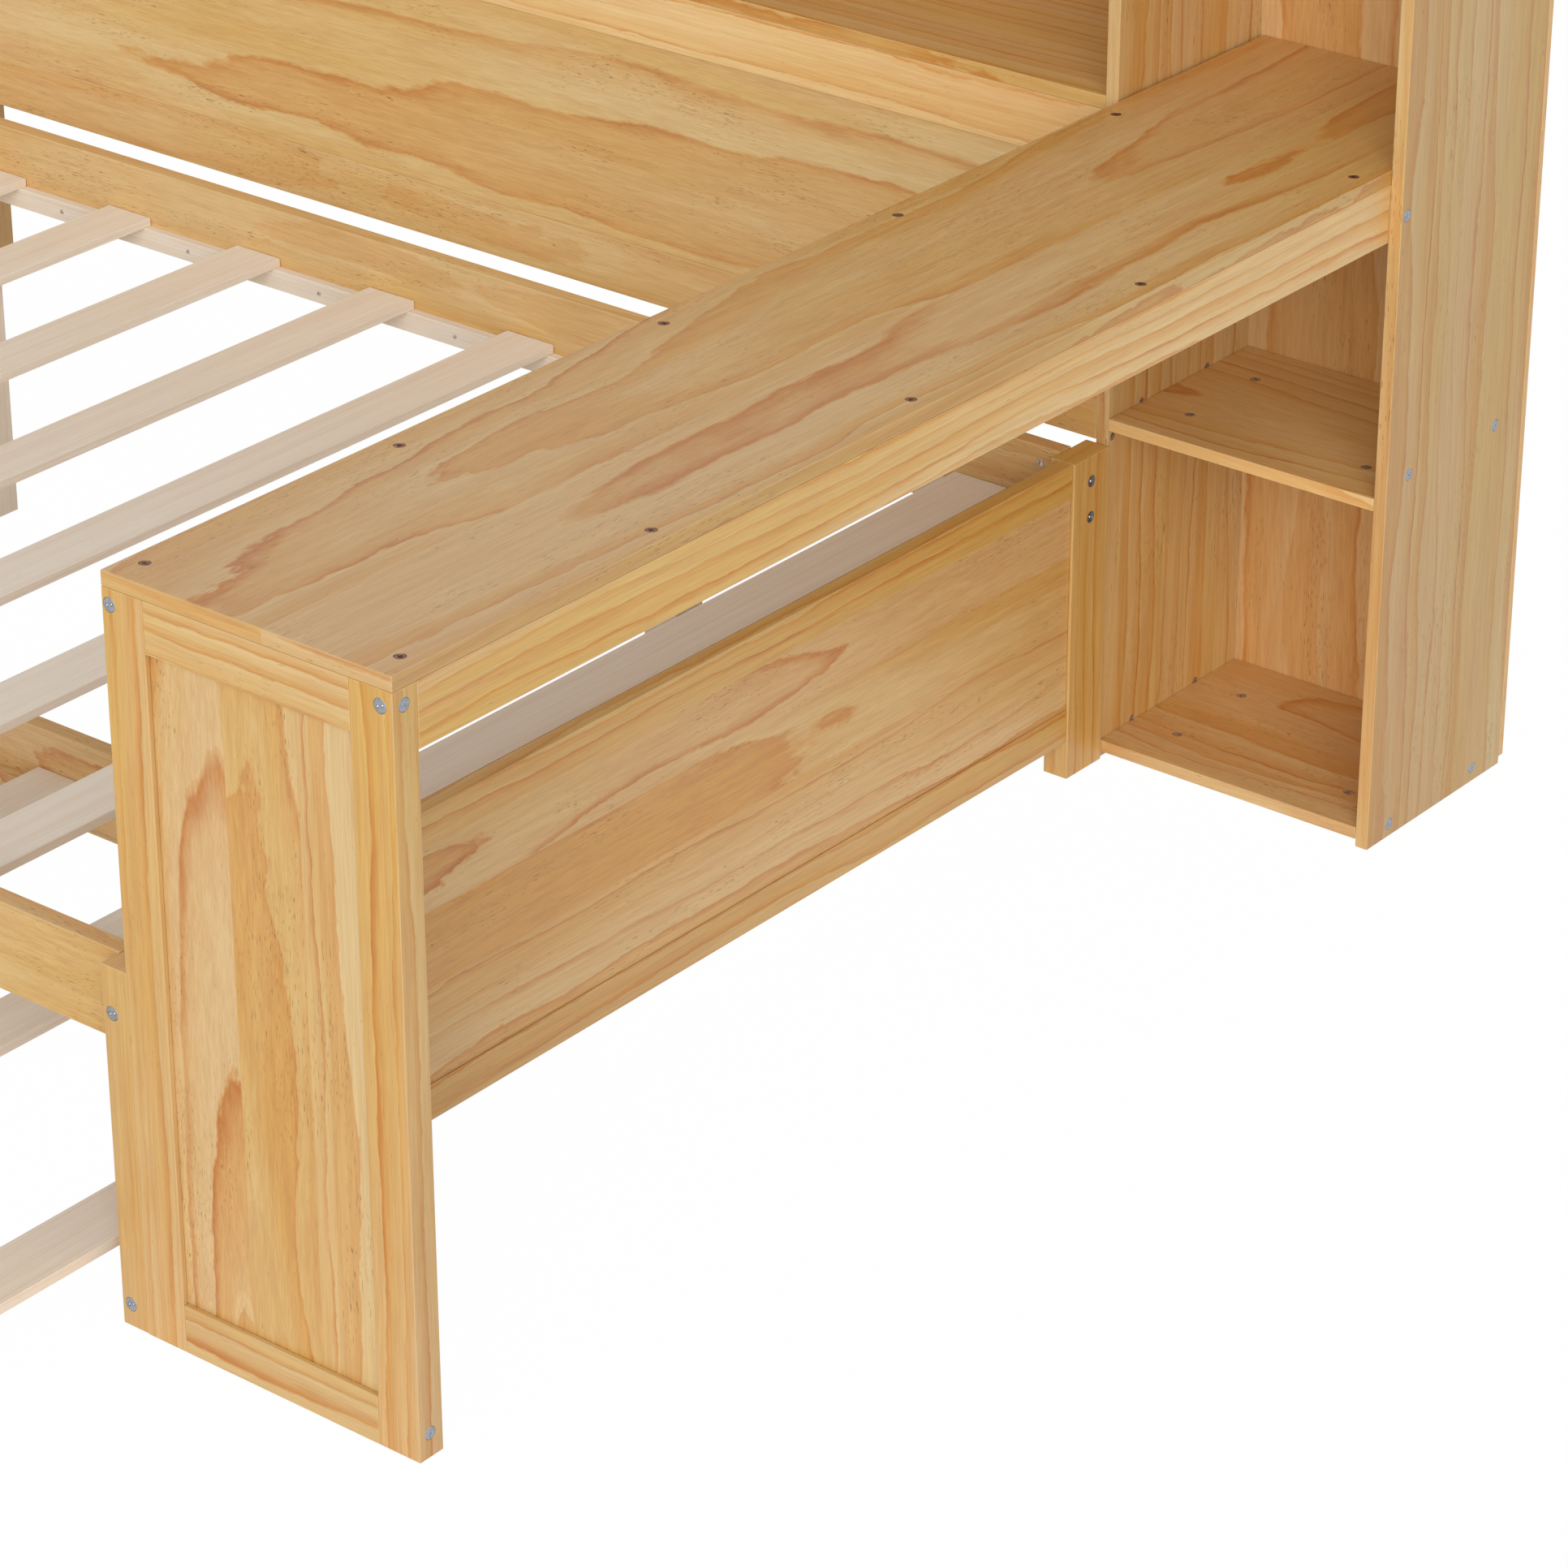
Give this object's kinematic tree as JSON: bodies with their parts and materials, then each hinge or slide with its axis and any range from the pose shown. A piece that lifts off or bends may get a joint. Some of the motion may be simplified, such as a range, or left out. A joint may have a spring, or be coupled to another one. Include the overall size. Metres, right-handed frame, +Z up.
{
  "type": "trundle daybed",
  "caption": "Pine daybed with a slatted base, a pull-out slatted trundle on wheels, a bookcase hutch along its back, and a long desk top on a framed leg across its right end.",
  "frame": {"origin": "middle of the floor under the whole object, with the trundle standing out as in the picture", "axes": "+X along the bed towards the desk, +Y back towards the bookcase, +Z up from the floor"},
  "size_m": [2.3318, 2.1294, 1.18],
  "materials": {
    "pine": "honey pine with cathedral grain under a satin clear varnish",
    "pale_pine": "bare pale softwood, planed, unvarnished",
    "steel": "zinc-plated steel bolts and bars",
    "wheel_plastic": "dark moulded nylon"
  },
  "bodies": {
    "daybed": {"bed_rail_front": "pine", "bed_rail_back": "pine", "bed_cleat_front": "pale_pine", "bed_cleat_back": "pale_pine", "bed_slat_1": "pale_pine", "bed_slat_2": "pale_pine", "bed_slat_3": "pale_pine", "bed_slat_4": "pale_pine", "bed_slat_5": "pale_pine", "bed_slat_6": "pale_pine", "bed_slat_7": "pale_pine", "bed_slat_8": "pale_pine", "bed_slat_9": "pale_pine", "bed_leg_1": "pale_pine", "bed_leg_2": "pale_pine", "end_right_post_front": "pine", "end_right_post_back": "pine", "end_right_rail_top": "pine", "end_right_rail_bottom": "pine", "end_right_panel": "pine", "end_left_post_front": "pine", "end_left_post_back": "pine", "end_left_board": "pine", "desk_stile_left": "pine", "desk_stile_right": "pine", "desk_rail_top": "pine", "desk_rail_bottom": "pine", "desk_panel": "pine", "desk_apron_left": "pine", "desk_apron_right": "pine", "desk_cross_rail": "pine", "desk_top": "pine", "tower_side_right": "pine", "tower_side_left": "pine", "tower_shelf_bottom": "pine", "tower_shelf_middle": "pine", "tower_back": "pine", "hutch_side_left": "pine", "hutch_rail_top": "pine", "hutch_rail_bottom": "pine", "hutch_panel": "pine", "hutch_shelf": "pine", "hutch_divider": "pine", "hutch_back": "pine", "bookcase_top": "pine"},
    "trundle": {"trundle_rail_front": "pine", "trundle_rail_back": "pine", "trundle_slat_1": "pale_pine", "trundle_slat_2": "pale_pine", "trundle_slat_3": "pale_pine", "trundle_slat_4": "pale_pine", "trundle_slat_5": "pale_pine", "trundle_slat_6": "pale_pine", "trundle_slat_7": "pale_pine", "trundle_axle_bar_right": "steel", "trundle_axle_bar_left": "steel"},
    "wheel_front_right": {"trundle_wheel_front_right": "wheel_plastic"},
    "wheel_back_right": {"trundle_wheel_back_right": "wheel_plastic"},
    "wheel_front_left": {"trundle_wheel_front_left": "wheel_plastic"},
    "wheel_back_left": {"trundle_wheel_back_left": "wheel_plastic"}
  },
  "joints": [
    {"name": "trundle_roll", "type": "slide", "parent": "daybed", "child": "trundle", "axis": [0, 1, 0], "range_m": [-0.65, 0.3805]},
    {"name": "wheel_front_right_turn", "type": "hinge", "parent": "trundle", "child": "wheel_front_right", "pos_m": [0.69085, -0.99675, 0.025], "axis": [1, 0, 0], "continuous": true},
    {"name": "wheel_back_right_turn", "type": "hinge", "parent": "trundle", "child": "wheel_back_right", "pos_m": [0.69085, -0.09275, 0.025], "axis": [1, 0, 0], "continuous": true},
    {"name": "wheel_front_left_turn", "type": "hinge", "parent": "trundle", "child": "wheel_front_left", "pos_m": [-1.03755, -0.99675, 0.025], "axis": [1, 0, 0], "continuous": true},
    {"name": "wheel_back_left_turn", "type": "hinge", "parent": "trundle", "child": "wheel_back_left", "pos_m": [-1.03755, -0.09275, 0.025], "axis": [1, 0, 0], "continuous": true}
  ],
  "couplings": [
    {"joint": "wheel_front_right_turn", "follows": "trundle_roll", "rad_per_m": -40},
    {"joint": "wheel_back_right_turn", "follows": "trundle_roll", "rad_per_m": -40},
    {"joint": "wheel_front_left_turn", "follows": "trundle_roll", "rad_per_m": -40},
    {"joint": "wheel_back_left_turn", "follows": "trundle_roll", "rad_per_m": -40}
  ]
}
